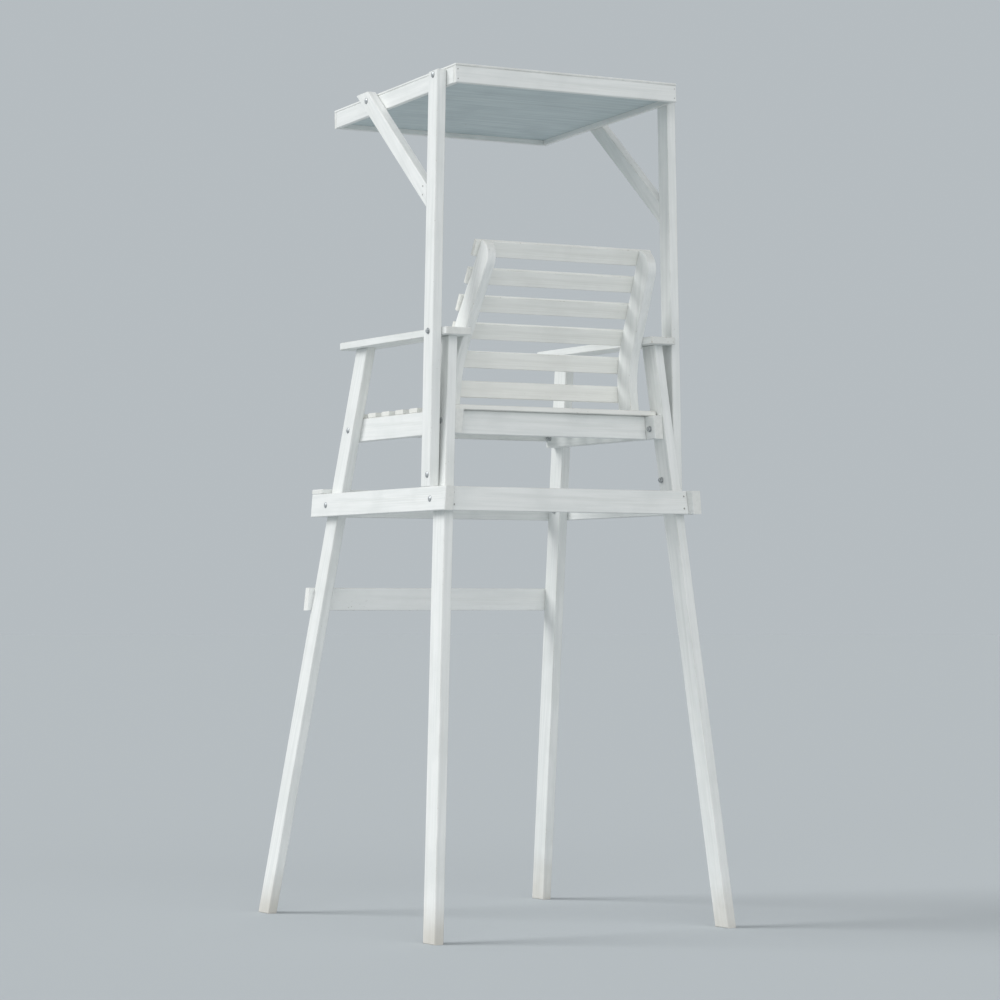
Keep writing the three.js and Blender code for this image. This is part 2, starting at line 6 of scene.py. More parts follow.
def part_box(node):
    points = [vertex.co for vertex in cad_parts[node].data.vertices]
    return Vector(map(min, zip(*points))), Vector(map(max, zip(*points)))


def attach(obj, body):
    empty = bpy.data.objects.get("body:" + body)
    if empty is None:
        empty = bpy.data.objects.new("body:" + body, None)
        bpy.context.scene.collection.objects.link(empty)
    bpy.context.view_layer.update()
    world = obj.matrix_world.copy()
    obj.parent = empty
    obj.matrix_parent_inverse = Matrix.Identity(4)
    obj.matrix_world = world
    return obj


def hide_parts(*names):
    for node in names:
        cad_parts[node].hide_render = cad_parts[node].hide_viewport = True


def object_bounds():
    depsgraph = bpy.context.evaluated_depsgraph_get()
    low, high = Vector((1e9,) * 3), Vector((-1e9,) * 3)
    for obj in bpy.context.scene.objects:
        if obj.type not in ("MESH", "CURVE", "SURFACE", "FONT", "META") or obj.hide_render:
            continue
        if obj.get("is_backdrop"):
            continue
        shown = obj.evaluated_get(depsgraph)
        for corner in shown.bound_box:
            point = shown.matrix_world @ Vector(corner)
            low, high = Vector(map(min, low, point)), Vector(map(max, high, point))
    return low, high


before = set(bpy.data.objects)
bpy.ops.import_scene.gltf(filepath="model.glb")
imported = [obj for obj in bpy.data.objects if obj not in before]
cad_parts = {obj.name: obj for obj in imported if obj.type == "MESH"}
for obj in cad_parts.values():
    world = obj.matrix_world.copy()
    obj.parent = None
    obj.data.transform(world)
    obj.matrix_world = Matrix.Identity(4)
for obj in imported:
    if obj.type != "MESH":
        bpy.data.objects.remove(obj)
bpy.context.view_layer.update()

# The picture's viewer stands on the ground behind the chair, to the sitter's left, 12.7 m away with
# the eye 1.2 m up. The lens frames the chair alone, from that same place.
camera_data = bpy.data.cameras.new("camera")
camera_data.lens = 116.4
camera_data.clip_end = 500
camera = bpy.data.objects.new("camera", camera_data)
bpy.context.scene.collection.objects.link(camera)
camera.location = (6.232, 11.097, 1.215)
look_round = math.radians(29.475)
look_up = math.radians(1.943)
camera.rotation_euler = (math.pi / 2 + look_up, 0, math.pi - look_round)
bpy.context.scene.camera = camera


# The legs: planed softwood, 38 by 90 mm, sawn level at the sole and at the top, eased along every
# edge. Two brushed coats of white exterior paint, through which the growth rings still show, with
# thin and grubby paint on the edges and damp sand worked into the feet.
white = (0.83, 0.845, 0.83, 1)
white_shade = (0.70, 0.725, 0.71, 1)
sides = {"left": 1, "right": -1}


# A board's own directions, read from its faces: along the grain, across it and through the board
def board_axes(node, grain=None):
    same_way, square_to = 0.995, 0.5
    ways = []
    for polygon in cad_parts[node].data.polygons:
        for way in ways:
            if abs(polygon.normal.dot(way["normal"])) > same_way:
                way["area"] += polygon.area
                break
        else:
            ways.append({"normal": polygon.normal.copy(), "area": polygon.area})
    ways.sort(key=lambda way: -way["area"])
    through = ways[0]["normal"].normalized()
    edge = next(way["normal"] for way in ways if abs(way["normal"].dot(through)) < square_to)
    along = Vector(grain) if grain else through.cross(edge)
    along = (along - through * along.dot(through)).normalized()
    return Matrix((along, through.cross(along), through))


def add_node(tree, kind, inputs=None, **settings):
    node = tree.nodes.new(kind)
    for setting, value in settings.items():
        setattr(node, setting, value)
    for socket, value in (inputs or {}).items():
        if isinstance(value, bpy.types.NodeSocket):
            tree.links.new(value, node.inputs[socket])
        else:
            node.inputs[socket].default_value = value
    return node


def mixed(tree, share, base, over):
    share_socket, base_socket, over_socket, colour_result = 0, 6, 7, 2
    sockets = {share_socket: share, base_socket: base, over_socket: over}
    return add_node(tree, "ShaderNodeMix", sockets, data_type="RGBA").outputs[colour_result]


def stepped(tree, value, start, end, low=0.0, high=1.0):
    sockets = {"Value": value, "From Min": start, "From Max": end, "To Min": low, "To Max": high}
    node = add_node(tree, "ShaderNodeMapRange", sockets, interpolation_type="SMOOTHSTEP")
    return node.outputs["Result"]


def combined(tree, operation, first, second):
    return add_node(tree, "ShaderNodeMath", {0: first, 1: second}, operation=operation).outputs[0]


def noise(tree, vector, scale, detail):
    node = add_node(tree, "ShaderNodeTexNoise", {"Vector": vector, "Scale": scale, "Detail": detail})
    return node.outputs["Fac"]


def stretched(tree, vector, scale, shift=(0, 0, 0)):
    sockets = {"Vector": vector, "Scale": scale, "Location": shift}
    return add_node(tree, "ShaderNodeMapping", sockets).outputs[0]


def new_finish(name):
    material = bpy.data.materials.new(name)
    material.use_nodes = True
    tree = material.node_tree
    return material, tree, add_node(tree, "ShaderNodeTexCoord").outputs


def link_finish(tree, tone, roughness):
    shader = tree.nodes["Principled BSDF"]
    tree.links.new(tone, shader.inputs["Base Color"])
    tree.links.new(roughness, shader.inputs["Roughness"])


# Where a point lies on its own board, and whether it is on an eased edge or on a sawn end
def board_surface(tree, place, node, grain):
    flat_face, full_edge = 0.92, 0.84
    end_begins, full_end = 0.82, 0.93
    turn = board_axes(node, grain)
    low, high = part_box(node)
    centre = turn @ ((low + high) / 2)
    turned = {"Vector": place["Object"], "Rotation": turn.to_euler(), "Location": -centre}
    board = add_node(tree, "ShaderNodeMapping", turned).outputs[0]
    facing = {"Vector": place["Normal"], "Rotation": turn.to_euler()}
    normal = add_node(tree, "ShaderNodeMapping", facing, vector_type="NORMAL").outputs[0]
    normal = add_node(tree, "ShaderNodeVectorMath", {0: normal}, operation="ABSOLUTE").outputs[0]
    along, across, through = add_node(tree, "ShaderNodeSeparateXYZ", {0: normal}).outputs
    flattest = combined(tree, "MAXIMUM", combined(tree, "MAXIMUM", along, across), through)
    eased_edges = stepped(tree, flattest, flat_face, full_edge)
    sawn_ends = stepped(tree, along, end_begins, full_end)
    return board, eased_edges, sawn_ends


# Growth rings round a pith outside the board, drawn out along the grain, which stand out in some
# bands of the face and fade in others
def growth_rings(tree, board, sawn_ends, ring_scale):
    pith = (0, 0.06, -0.045)
    drawn_out = (0.1, 1, 1)
    band_scale = (1.2, 24, 24)
    ring_sockets = {"Vector": stretched(tree, board, drawn_out, pith), "Scale": ring_scale}
    ring_sockets.update({"Distortion": 5, "Detail": 2, "Detail Scale": 0.6})
    rings = add_node(tree, "ShaderNodeTexWave", ring_sockets, wave_type="RINGS", rings_direction="X")
    bands = stepped(tree, noise(tree, stretched(tree, board, band_scale), 1, 2), 0.42, 0.60)
    shown = combined(tree, "MAXIMUM", bands, sawn_ends)
    return combined(tree, "MULTIPLY", rings.outputs["Fac"], shown)


# Flakes off the paint: few on the faces, more along the edges, and more where the board is worn
def paint_chips(tree, place, clouds, eased_edges, worn):
    grit_scale = 130
    edge_chip, full_edge_chip = 0.665, 0.69
    face_chip, full_face_chip = 0.755, 0.775
    grit = noise(tree, place["Object"], grit_scale, 3)
    rarity = combined(tree, "ADD", grit, stepped(tree, clouds, 0.5, 0.75, 0, worn * 0.08))
    edge_chips = combined(tree, "MULTIPLY", eased_edges, stepped(tree, rarity, edge_chip, full_edge_chip))
    face_chips = stepped(tree, rarity, face_chip, full_face_chip)
    chips = combined(tree, "MAXIMUM", edge_chips, face_chips)
    return combined(tree, "MULTIPLY", chips, 0.2 + worn * 0.4)


def brushed_paint(node, colour, shade, worn=0.5, sandy=0.0, grain=None, ring_scale=52):
    ring_tan = (0.66, 0.63, 0.55, 1)
    end_grain_grey = (0.62, 0.62, 0.57, 1)
    thin_edge_grey = (0.56, 0.56, 0.52, 1)
    bare_wood = (0.40, 0.37, 0.31, 1)
    damp_sand = (0.50, 0.46, 0.39, 1)
    brush_scale = (3, 70, 70)
    cloud_scale = 5.5
    stroke_share, cloud_share, ring_share, end_share = 0.55, 0.5, 0.10, 0.3
    sand_top, sand_full, sand_unevenness = 0.10, -0.14, -0.22
    smoothest, roughest, bare_roughness = 0.42, 0.56, 0.3
    ring_height, stroke_height, relief_strength, relief_depth = 0.28, 0.8, 0.55, 0.0012
    material, tree, place = new_finish(node + "_paint")
    board, eased_edges, sawn_ends = board_surface(tree, place, node, grain)
    rings = growth_rings(tree, board, sawn_ends, ring_scale)
    strokes = noise(tree, stretched(tree, board, brush_scale), 1, 4)
    clouds = noise(tree, place["Object"], cloud_scale, 3)
    chips = paint_chips(tree, place, clouds, eased_edges, worn)

    tone = mixed(tree, stepped(tree, strokes, 0.36, 0.68, 0, stroke_share), colour, shade)
    tone = mixed(tree, stepped(tree, clouds, 0.45, 0.72, 0, cloud_share), tone, shade)
    tone = mixed(tree, stepped(tree, rings, 0.6, 1, 0, ring_share), tone, ring_tan)
    tone = mixed(tree, combined(tree, "MULTIPLY", sawn_ends, end_share), tone, end_grain_grey)
    thin_share = stepped(tree, clouds, 0.35, 0.7, 0.05, 0.3 + worn * 0.2)
    tone = mixed(tree, combined(tree, "MULTIPLY", eased_edges, thin_share), tone, thin_edge_grey)
    tone = mixed(tree, chips, tone, bare_wood)
    if sandy:
        height = add_node(tree, "ShaderNodeSeparateXYZ", {0: place["Object"]}).outputs["Z"]
        damp = combined(tree, "ADD", height, combined(tree, "MULTIPLY", clouds, sand_unevenness))
        tone = mixed(tree, stepped(tree, damp, sand_top, sand_full, 0, sandy), tone, damp_sand)

    bare = combined(tree, "MULTIPLY", combined(tree, "MAXIMUM", chips, sawn_ends), bare_roughness)
    roughness = combined(tree, "ADD", stepped(tree, strokes, 0.3, 0.7, smoothest, roughest), bare)
    link_finish(tree, tone, roughness)
    ring_relief = combined(tree, "MULTIPLY", rings, ring_height)
    relief = combined(tree, "ADD", ring_relief, combined(tree, "MULTIPLY", strokes, stroke_height))
    relief = combined(tree, "SUBTRACT", relief, chips)
    bump = {"Height": relief, "Strength": relief_strength, "Distance": relief_depth}
    bumped = add_node(tree, "ShaderNodeBump", bump).outputs[0]
    tree.links.new(bumped, tree.nodes["Principled BSDF"].inputs["Normal"])
    for material_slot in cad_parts[node].material_slots:
        material_slot.material = material


for side in sides:
    brushed_paint(f"front_leg_{side}", white, white_shade, sandy=0.6)
    brushed_paint(f"rear_leg_{side}", white, white_shade, sandy=0.6)


# The ladder step: one board on edge across the fronts of the front legs, scuffed by climbing feet. Its
# paint is a lighter white than the legs', a painted light that makes up for the shade it stands in.
# Two steel deck screws hold it at each leg, with domed heads and star recesses, painted over with it
# and near black in the recess, which is painted shade with some grime.
step_painted_light_white = (0.92, 0.93, 0.915, 1)
step_painted_light_shade = (0.84, 0.855, 0.84, 1)
framing_width = 0.09
framing_edge = 0.022
framing_rows = [framing_edge, framing_width - framing_edge]
step_inset = 0.038
screw_radius = 0.0045


def select_only(*pieces):
    bpy.ops.object.select_all(action="DESELECT")
    for piece in pieces:
        piece.select_set(True)
    bpy.context.view_layer.objects.active = pieces[0]


def select_parts(piece, kind, chosen):
    bpy.ops.object.mode_set(mode="EDIT")
    bpy.ops.mesh.select_mode(type=kind)
    bpy.ops.mesh.select_all(action="DESELECT")
    bpy.ops.object.mode_set(mode="OBJECT")
    for part in piece.data.polygons if kind == "FACE" else piece.data.vertices:
        part.select = chosen(part)
    bpy.ops.object.mode_set(mode="EDIT")


# A piece turned as on a lathe: the profile is a list of radius and level, from one end to the other
def add_turned(name, corners, profile):
    bpy.ops.object.select_all(action="DESELECT")
    radius, level = profile[0]
    bpy.ops.mesh.primitive_circle_add(
        vertices=corners, radius=radius, fill_type="NGON", location=(0, 0, level)
    )
    piece = bpy.context.object
    piece.name = name
    bpy.ops.object.transform_apply(location=True, rotation=True, scale=True)
    bpy.ops.object.mode_set(mode="EDIT")
    bpy.ops.mesh.select_all(action="SELECT")
    for next_radius, next_level in profile[1:]:
        bpy.ops.mesh.extrude_region_move(TRANSFORM_OT_translate={"value": (0, 0, next_level - level)})
        ratio = next_radius / radius
        bpy.ops.transform.resize(value=(ratio, ratio, 1), center_override=(0, 0, next_level))
        radius, level = next_radius, next_level
    bpy.ops.mesh.select_all(action="SELECT")
    bpy.ops.mesh.normals_make_consistent(inside=False)
    bpy.ops.object.mode_set(mode="OBJECT")
    return piece


def worn_screw_paint():
    painted, rubbed = (0.70, 0.71, 0.69, 1), (0.36, 0.36, 0.34, 1)
    patch_scale = 210
    material, tree, place = new_finish("screw_paint")
    patches = stepped(tree, noise(tree, place["Object"], patch_scale, 3), 0.42, 0.62)
    link_finish(tree, mixed(tree, patches, painted, rubbed), stepped(tree, patches, 0, 1, 0.5, 0.38))
    return material


# The star recess's finish: near black, painted shade in the hollow with some grime in it
def recess_shade_and_grime():
    shade_and_grime, deep_shade_and_grime = (0.20, 0.20, 0.18, 1), (0.11, 0.11, 0.10, 1)
    fleck_scale = 700
    material, tree, place = new_finish("recess_shade_and_grime")
    share = stepped(tree, noise(tree, place["Object"], fleck_scale, 2), 0.35, 0.65)
    link_finish(tree, mixed(tree, share, shade_and_grime, deep_shade_and_grime), stepped(tree, share, 0, 1, 0.6, 0.8))
    return material


# The flat of the head is inset, every other corner of the inset is drawn in, and the star is sunk
def add_star_screw(radius):
    rise, recess_floor = 0.0008, 0.0002
    shank_end, neck = -0.006, -0.003
    shank_radius = radius * 0.5
    inset_share, drawn_in_share, recess_share = 0.36, 0.62, 0.6
    profile = [(shank_radius, shank_end), (shank_radius, neck), (radius * 0.97, -0.0002)]
    profile += [(radius, 0.0003), (radius * 0.93, rise)]
    screw = add_turned("star_screw", 12, profile)
    select_parts(screw, "FACE", lambda face: face.normal.z > 0.9)
    bpy.ops.mesh.inset(thickness=radius * inset_share)
    bpy.ops.object.mode_set(mode="OBJECT")
    star = next(face for face in screw.data.polygons if face.select)
    hollows = set(list(star.vertices)[::2])
    select_parts(screw, "VERT", lambda vertex: vertex.index in hollows)
    drawn_in = (drawn_in_share, drawn_in_share, 1)
    bpy.ops.transform.resize(value=drawn_in, center_override=(0, 0, rise))
    bpy.ops.object.mode_set(mode="OBJECT")

    def in_recess(face):
        reaches = [screw.data.vertices[corner].co.xy.length for corner in face.vertices]
        return face.center.z > 0 and max(reaches) < radius * recess_share

    select_parts(screw, "FACE", in_recess)
    bpy.ops.mesh.extrude_region_move(TRANSFORM_OT_translate={"value": (0, 0, recess_floor - rise)})
    bpy.ops.object.mode_set(mode="OBJECT")
    screw.data.materials.append(worn_screw_paint())
    screw.data.materials.append(recess_shade_and_grime())
    # The faces in the star recess take the near-black finish, painted shade with some grime
    for face in screw.data.polygons:
        face.material_index = 1 if in_recess(face) else 0
    return screw


def copied(piece, name, point, direction):
    copy = piece.copy()
    copy.data = piece.data.copy()
    copy.name = name
    bpy.context.scene.collection.objects.link(copy)
    turn = direction.to_track_quat("Z", "Y").to_matrix().to_4x4()
    copy.matrix_world = Matrix.Translation(point) @ turn
    select_only(copy)
    bpy.ops.object.transform_apply(location=True, rotation=True, scale=True)
    return copy


def outer_face(node, outward):
    normal = board_axes(node)[2]
    if normal.dot(Vector(outward)) < 0:
        normal = -normal
    return normal, max(normal.dot(vertex.co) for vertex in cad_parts[node].data.vertices)


# Places on a board's outer face, as insets from both of its ends and from one of its edges
def face_spots(node, outward, end_insets, edge_insets):
    along, across, through = board_axes(node)
    normal, distance = outer_face(node, outward)
    corners = [vertex.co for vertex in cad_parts[node].data.vertices]
    first_end = min(along.dot(corner) for corner in corners)
    last_end = max(along.dot(corner) for corner in corners)
    first_edge = min(across.dot(corner) for corner in corners)
    spots = []
    for end_inset in end_insets:
        for from_end in (first_end + end_inset, last_end - end_inset):
            for edge_inset in edge_insets:
                spot = along * from_end + across * (first_edge + edge_inset) + normal * distance
                spots.append((spot, normal))
    return spots


# A screw, pin or nail at each of the places, joined as one piece
def drive_screws(name, spots, pattern):
    screws = [copied(pattern, name, point, direction) for point, direction in spots]
    select_only(*screws)
    bpy.ops.object.join()
    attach(screws[0], "root")


brushed_paint("ladder_step", step_painted_light_white, step_painted_light_shade, worn=1.0)
star_screw = add_star_screw(screw_radius)
step_spots = face_spots("ladder_step", (0, -1, 0), [step_inset], framing_rows)
drive_screws("ladder_step_screws", step_spots, star_screw)

# The platform: four rails on edge round the outside of the legs, the side rails standing out past
# them at both ends, with one board laid flat across the front ends for the sitter's feet. The cross
# rails and the foot board are screwed down, and the foot board is the most worn board of all.
rail_inset = 0.021
side_rail_middle = 0.019
over_front_rail = 0.068
middle_insets = [0.3, 0.55]
up = Vector((0, 0, 1))
front_and_rear = {"front": -1, "rear": 1}
for side in sides:
    brushed_paint(f"platform_side_rail_{side}", white, white_shade)
for end, outward in front_and_rear.items():
    rail = f"platform_{end}_rail"
    brushed_paint(rail, white, white_shade)
    rail_spots = face_spots(rail, (0, outward, 0), [rail_inset], framing_rows)
    drive_screws(f"{rail}_screws", rail_spots, star_screw)
brushed_paint("foot_board", white, white_shade, worn=1.3)
foot_spots = face_spots("foot_board", up, [side_rail_middle], framing_rows)
foot_spots += face_spots("foot_board", up, middle_insets, [over_front_rail])
drive_screws("foot_board_screws", foot_spots, star_screw)

# The seat's frame: two side rails inside the legs, and between them a rear rail behind the stiles
# and a light front rail under the first slat. The slats on both cross rails are screwed down to them.
for side in sides:
    brushed_paint(f"seat_side_rail_{side}", white, white_shade)
brushed_paint("seat_front_rail", white, white_shade)
brushed_paint("seat_rear_rail", white, white_shade)

# The seat's slats: thin softwood boards with gaps between them to drain, in the same white paint,
# yellowed and rubbed by sitting, and made lighter than the frame's white as painted light for the
# shade they sit in. Two star screws go down into the side rail at each end, and three more hold the
# first and the last slat to the cross rail under it.
slat_painted_light_white = (0.87, 0.875, 0.84, 1)
slat_painted_light_shade = (0.76, 0.765, 0.73, 1)
slat_width = 0.064
slat_edge = 0.016
slat_rows = [slat_edge, slat_width - slat_edge]
slat_inset = 0.015
rail_screw_pitch = 0.19
slat_spots = []
for slat in [f"seat_slat_{count}" for count in range(1, 7)] + ["seat_rear_slat"]:
    brushed_paint(slat, slat_painted_light_white, slat_painted_light_shade, worn=0.8)
    slat_spots += face_spots(slat, up, [slat_inset], slat_rows)
for slat, rail in (("seat_slat_1", "seat_front_rail"), ("seat_rear_slat", "seat_rear_rail")):
    rail_low, rail_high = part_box(rail)
    rail_middle = (rail_low.y + rail_high.y) / 2
    for x in (-rail_screw_pitch, 0, rail_screw_pitch):
        slat_spots.append((Vector((x, rail_middle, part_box(slat)[1].z)), up))
drive_screws("seat_slat_screws", slat_spots, star_screw)

# The back's stiles: each is sawn from one wide board to a bowed outline, so its grain runs straight
# up the chord while the edges curve. They stand inside the seat's side rails, one bolt through each.
chord_lean = math.radians(15)
chord = (0, math.sin(chord_lean), math.cos(chord_lean))
for side in sides:
    brushed_paint(f"back_stile_{side}", white, white_shade, grain=chord)

# The back's slats: six thin boards on the front edges of the stiles, which they follow round the bow.
# Two star screws hold each end, in line with the leaning stile, and the paint is rubbed where
# shoulders lean.
framing_thickness = 0.038
stile_low, stile_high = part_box("back_stile_left")
stile_lean = (stile_high.x - stile_low.x - framing_thickness) / (stile_high.z - stile_low.z)
back_spots = []
for count in range(1, 7):
    slat = f"back_slat_{count}"
    # The back slats share the slats' lighter paint, painted light for the shade they sit in
    brushed_paint(slat, slat_painted_light_white, slat_painted_light_shade, worn=0.7)
    low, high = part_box(slat)
    lean_here = stile_lean * ((low.z + high.z) / 2 - stile_low.z)
    stile_middle = stile_high.x - framing_thickness / 2 - lean_here
    back_spots += face_spots(slat, (0, -1, 0), [high.x - stile_middle], slat_rows)
drive_screws("back_slat_screws", back_spots, star_screw)

# The armrests: thicker boards laid flat on the tops of the legs, rounded at the corners and rubbed
# smooth by hands. Two screws go down into the end grain of each leg.
leg_half_depth = 0.046
arm_half_pitch = 0.022
for side, sign in sides.items():
    arm = f"armrest_{side}"
    brushed_paint(arm, white, white_shade, worn=1.2)
    arm_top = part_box(arm)[1].z
    arm_spots = []
    for leg in ("front_leg", "rear_leg"):
        leg_low, leg_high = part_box(f"{leg}_{side}")
        inner_x = leg_low.x if sign > 0 else leg_high.x
        leg_x = inner_x + sign * framing_thickness / 2
        leg_y = leg_high.y - leg_half_depth if leg == "front_leg" else leg_low.y + leg_half_depth
        for step_out in (-arm_half_pitch, arm_half_pitch):
            arm_spots.append((Vector((leg_x, leg_y + step_out, arm_top)), up))
    drive_screws(f"{arm}_screws", arm_spots, star_screw)

# The roof's posts and braces: planed softwood outside the rear legs, standing on the platform rails
# and leaning slightly inwards, bolted through to the legs and to the roof. The foot of each brace is
# cut upright to meet the post's front edge, and held by two star screws from the outside.
brace_angle = math.radians(40)
brace_width = 0.064
brace_inset = 0.028
brace_half_pitch = 0.016
for side, sign in sides.items():
    brushed_paint(f"roof_post_{side}", white, white_shade)
    brace = f"roof_brace_{side}"
    brushed_paint(brace, white, white_shade)
    brace_low, brace_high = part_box(brace)
    outward, distance = outer_face(brace, (sign, 0, 0))
    y = brace_high.y - brace_inset
    foot_height = brace_width / 2 / math.cos(brace_angle) + brace_inset * math.tan(brace_angle)
    brace_spots = []
    for step_up in (-brace_half_pitch, brace_half_pitch):
        z = brace_low.z + foot_height + step_up
        x = (distance - y * outward.y - z * outward.z) / outward.x
        brace_spots.append((Vector((x, y, z)), outward))
    drive_screws(f"{brace}_screws", brace_spots, star_screw)
screw_paint = star_screw.data.materials[0]
bpy.data.objects.remove(star_screw)

# The roof: four thin edge boards, pinned at the corners, and one bearer along the middle, all
# painted like the frame. It falls slightly to the front.
for board in ("side_board_left", "side_board_right", "front_board", "rear_board", "rafter"):
    brushed_paint(f"roof_{board}", white, white_shade)
pin_shank = 0.0012
pin_profile = [(pin_shank, -0.006), (pin_shank, -0.0006), (0.003, -0.0002), (0.0032, 0.0002)]
pin_profile += [(0.0026, 0.0006), (pin_shank, 0.0008)]
edge_pin = add_turned("edge_pin", 12, pin_profile)
edge_pin.data.materials.append(screw_paint)
edge_board_middle = 0.0095
pin_edge = 0.014
pin_rows = [pin_edge, slat_width - pin_edge]
edge_spots = []
for end, outward in front_and_rear.items():
    edge_spots += face_spots(f"roof_{end}_board", (0, outward, 0), [edge_board_middle], pin_rows)
drive_screws("roof_edge_screws", edge_spots, edge_pin)


# The roof's deck: a sheet of exterior plywood, brushed white from back to front. Clout nails with
# flat galvanized heads, about 160 mm apart, hold it down to the edge boards and the bearer.
deck_grain = (0, 1, 0)
sheet_ring_scale = 11
nail_shank = 0.002
nail_inset = 0.011
nail_shares = [count / 6 for count in range(7)]
row_shares = [0, 0.5, 1]
between_rows_shares = [share for share in nail_shares if share not in row_shares]


def galvanized_steel():
    spangle_light, spangle_dark = (0.52, 0.54, 0.55, 1), (0.40, 0.42, 0.43, 1)
    white_bloom = (0.62, 0.63, 0.62, 1)
    spangle_scale, bloom_scale, bloom_share = 260, 120, 0.5
    bright_roughness, bloom_roughness, bare_metal = 0.38, 0.62, 0.7
    material, tree, place = new_finish("galvanized_steel")
    cells = {"Vector": place["Object"], "Scale": spangle_scale}
    spangle = add_node(tree, "ShaderNodeTexVoronoi", cells).outputs["Distance"]
    bloom = stepped(tree, noise(tree, place["Object"], bloom_scale, 3), 0.45, 0.65)
    tone = mixed(tree, stepped(tree, spangle, 0.1, 0.6), spangle_light, spangle_dark)
    tone = mixed(tree, combined(tree, "MULTIPLY", bloom, bloom_share), tone, white_bloom)
    link_finish(tree, tone, stepped(tree, bloom, 0, 1, bright_roughness, bloom_roughness))
    tree.nodes["Principled BSDF"].inputs["Metallic"].default_value = bare_metal
    return material


# Places on a sheet's top (facing 1) or underside (facing -1), as shares of its width and length
def sheet_spots(node, facing, width_shares, length_shares, inset):
    normal, distance = outer_face(node, (0, 0, facing))
    low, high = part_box(node)
    spots = []
    for length_share in length_shares:
        for width_share in width_shares:
            x = low.x + inset + (high.x - low.x - 2 * inset) * width_share
            y = low.y + inset + (high.y - low.y - 2 * inset) * length_share
            z = (distance - x * normal.x - y * normal.y) / normal.z
            spots.append((Vector((x, y, z)), normal))
    return spots


brushed_paint("roof_deck", white, white_shade, worn=0.6, grain=deck_grain, ring_scale=sheet_ring_scale)
zinc = galvanized_steel()
nail_profile = [(nail_shank, -0.006), (nail_shank, -0.0004), (0.0052, 0.0), (0.0054, 0.0004)]
nail_profile += [(0.0046, 0.0009), (0.0015, 0.0011)]
clout_nail = add_turned("clout_nail", 14, nail_profile)
clout_nail.data.materials.append(zinc)
deck_spots = sheet_spots("roof_deck", 1, row_shares, nail_shares, nail_inset)
deck_spots += sheet_spots("roof_deck", 1, between_rows_shares, [0, 1], nail_inset)
drive_screws("roof_deck_nails", deck_spots, clout_nail)
bpy.data.objects.remove(clout_nail)

# The ceiling: thin plywood set up inside the edge boards, in blue-grey paint that was brushed on
# in long strokes from side to side, and pinned up to the bearer. Its blue-grey is darker than the
# frame's white, partly as painted shade for the underside of the roof.
ceiling_painted_shade_grey = (0.55, 0.63, 0.64, 1)
ceiling_painted_shade_darker = (0.42, 0.49, 0.51, 1)
ceiling_grain = (1, 0, 0)
brushed_paint(
    "roof_ceiling", ceiling_painted_shade_grey, ceiling_painted_shade_darker, worn=0.0, grain=ceiling_grain, ring_scale=sheet_ring_scale
)
pin_inset = 0.03
under_bearer = [0.5]
ceiling_spots = sheet_spots("roof_ceiling", -1, under_bearer, nail_shares, pin_inset)
drive_screws("roof_ceiling_pins", ceiling_spots, edge_pin)
bpy.data.objects.remove(edge_pin)


# The coach bolts, eight on each side: two through each side rail, one through the stile, one through
# the brace and one at each end of the post. Each has a domed head, a washer and a hexagon nut, and
# its thread shows a few turns past the nut.
washer_radius = 0.012
washer_thickness = 0.002
washer_easing = 0.0004
washer_flat = washer_radius - washer_easing
bolt_radius = 0.005
dome_radius = 0.012
dome_height = 0.0055
dome_profile = [(0.0015, -dome_height), (0.005, -0.0051), (0.0082, -0.0041), (0.0107, -0.0026)]
dome_profile += [(0.0119, -0.0013), (dome_radius, -0.0004), (0.0117, 0.0)]
nut_flats = 0.017
nut_height = 0.008
thread_pitch = 0.0015
thread_past_nut = 0.004
thread_root_share = 0.86
tip_turns = 1.2
tip_share = 0.78


# The middles of a bolt's two ends, head first
def axis_ends(node, inward):
    same_level = 0.00002
    points = [vertex.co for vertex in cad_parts[node].data.vertices]
    depths = [point.dot(inward) for point in points]
    ends = []
    for end_depth in (min(depths), max(depths)):
        end = [point for point, depth in zip(points, depths) if abs(depth - end_depth) < same_level]
        ends.append(sum(end, Vector()) / len(end))
    return ends


def combine(piece, tool, operation):
    select_only(piece)
    boolean = piece.modifiers.new("joined", "BOOLEAN")
    boolean.operation = operation
    boolean.solver = "EXACT"
    boolean.object = tool
    bpy.ops.object.modifier_apply(modifier=boolean.name)
    bpy.data.objects.remove(tool)


def add_nut(across_flats, low, high):
    chamfer_share, end_share, turned_share = 0.13, 0.86, 1.02
    corner_radius = across_flats / math.sqrt(3)
    chamfer = (high - low) * chamfer_share
    end_radius, side_radius = corner_radius * end_share, corner_radius * turned_share
    nut = add_turned("nut", 6, [(corner_radius, low), (corner_radius, high)])
    turning = [(end_radius, low), (side_radius, low + chamfer)]
    turning += [(side_radius, high - chamfer), (end_radius, high)]
    combine(nut, add_turned("nut_turning", 48, turning), "INTERSECT")
    return nut


def finish_fixing(fixing):
    sharp_angle = math.radians(32)
    select_only(fixing)
    bpy.ops.object.shade_smooth_by_angle(angle=sharp_angle)
    fixing.data.materials.append(zinc)


def fit_fixing(pattern, node, point, inward):
    fixing = copied(pattern, f"{node}_galvanized", point, inward)
    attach(fixing, "root")
    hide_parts(node)


def add_coach_bolt(length):
    nut_end = length - thread_past_nut
    nut_seat = nut_end - nut_height
    washer_seat = nut_seat - washer_thickness
    profile = dome_profile + [(bolt_radius, 0.0), (bolt_radius, washer_seat)]
    profile += [(washer_flat, washer_seat), (washer_radius, washer_seat + washer_easing)]
    profile += [(washer_radius, nut_seat - washer_easing), (washer_flat, nut_seat)]
    level = nut_end - thread_pitch
    profile += [(bolt_radius, nut_seat), (bolt_radius, level)]
    while level < length - thread_pitch * tip_turns:
        profile.append((bolt_radius * thread_root_share, level + thread_pitch * 0.5))
        level += thread_pitch
        profile.append((bolt_radius, level))
    profile.append((bolt_radius * tip_share, length))
    bolt = add_turned("coach_bolt", 32, profile)
    combine(bolt, add_nut(nut_flats, nut_seat, nut_end), "UNION")
    finish_fixing(bolt)
    return bolt


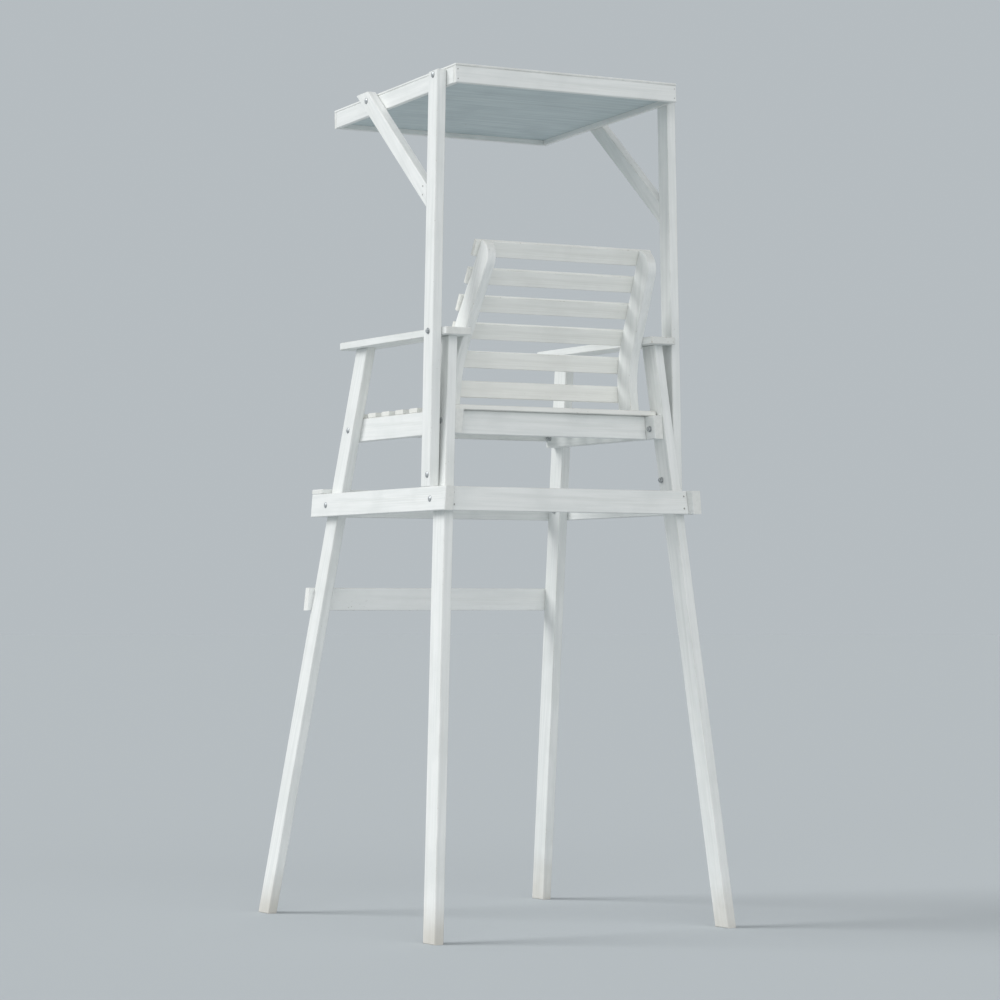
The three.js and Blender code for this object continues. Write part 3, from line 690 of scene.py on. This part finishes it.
leg_bolts = ["platform_front_bolt", "platform_rear_bolt", "seat_front_bolt", "seat_rear_bolt", "stile_bolt"]
level_bolts = ["post_foot_bolt", "post_top_bolt", "brace_bolt"]
leg_lean = abs(board_axes("front_leg_left")[2].z)
bolt_patterns = {}
for bolt_name in leg_bolts + level_bolts:
    for side, sign in sides.items():
        node = f"{bolt_name}_{side}"
        slope = leg_lean if bolt_name in leg_bolts else 0
        inward = Vector((-sign * math.sqrt(1 - slope * slope), 0, -slope))
        crown, end = axis_ends(node, inward)
        length = round((end - crown).length - dome_height, 4)
        if length not in bolt_patterns:
            bolt_patterns[length] = add_coach_bolt(length)
        fit_fixing(bolt_patterns[length], node, crown + inward * dome_height, inward)
for pattern in bolt_patterns.values():
    bpy.data.objects.remove(pattern)

# The armrest screws: galvanized coach screws with a hexagon head and a washer, driven level through
# the posts into the armrests' edges.
head_flats = 0.013
head_height = 0.0055
head_overlap = 0.0002
shank_radius = 0.004
point_length = 0.01
point_radius = 0.0006
for side, sign in sides.items():
    node = f"armrest_screw_{side}"
    inward = Vector((-sign, 0, 0))
    crown, point = axis_ends(node, inward)
    length = (point - crown).length
    washer_seat = head_height + washer_thickness
    profile = [(washer_flat, head_height), (washer_radius, head_height + washer_easing)]
    profile += [(washer_radius, washer_seat), (shank_radius, washer_seat)]
    profile += [(shank_radius, length - point_length), (point_radius, length)]
    coach_screw = add_turned("coach_screw", 32, profile)
    combine(coach_screw, add_nut(head_flats, 0, head_height + head_overlap), "UNION")
    finish_fixing(coach_screw)
    fit_fixing(coach_screw, node, crown, inward)
    bpy.data.objects.remove(coach_screw)

# The studio: a wide pale floor that runs out to a background of the same tone, a soft key light from
# the chair's left and front, as in the picture, and weaker light from behind and from all round.
floor_radius = 150
floor_tone = (0.495, 0.532, 0.551, 1)
background_tone = (0.465, 0.504, 0.529, 1)
ambient_tone = (0.96, 0.98, 1.0, 1)
ambient_strength = 0.49
bpy.ops.object.select_all(action="DESELECT")
bpy.ops.mesh.primitive_circle_add(vertices=64, radius=floor_radius, fill_type="NGON", location=(0, 0, 0))
floor = bpy.context.object
floor.name = "floor"
floor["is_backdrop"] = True
floor_paint = bpy.data.materials.new("floor_paint")
floor_paint.use_nodes = True
floor_shader = floor_paint.node_tree.nodes["Principled BSDF"]
floor_shader.inputs["Base Color"].default_value = floor_tone
floor_shader.inputs["Roughness"].default_value = 0.9
floor_shader.inputs["Specular IOR Level"].default_value = 0.1
floor.data.materials.append(floor_paint)

for name, direction, strength, spread in (
    ("key", (0.76, -0.33, 0.56), 1.9, 34),
    ("fill", (0.25, 0.88, 0.30), 1.15, 70),
):
    sun_data = bpy.data.lights.new(name, "SUN")
    sun_data.energy = strength
    sun_data.angle = math.radians(spread)
    sun = bpy.data.objects.new(name, sun_data)
    bpy.context.scene.collection.objects.link(sun)
    sun.rotation_euler = Vector(direction).to_track_quat("Z", "Y").to_euler()

world = bpy.data.worlds.new("studio")
bpy.context.scene.world = world
world.use_nodes = True
world_tree = world.node_tree
ambient = world_tree.nodes["Background"]
ambient.inputs["Color"].default_value = ambient_tone
ambient.inputs["Strength"].default_value = ambient_strength
backdrop = add_node(world_tree, "ShaderNodeBackground", {"Color": background_tone, "Strength": 1.0})
rays = add_node(world_tree, "ShaderNodeLightPath").outputs
seen = combined(world_tree, "MAXIMUM", rays["Is Camera Ray"], rays["Is Glossy Ray"])
seen = combined(world_tree, "MAXIMUM", seen, rays["Is Transmission Ray"])
shaders = {0: seen, 1: ambient.outputs[0], 2: backdrop.outputs[0]}
mix = add_node(world_tree, "ShaderNodeMixShader", shaders)
world_tree.links.new(mix.outputs[0], world_tree.nodes["World Output"].inputs["Surface"])

bpy.context.scene.view_settings.view_transform = "Standard"

bpy.context.view_layer.update()
low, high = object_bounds()
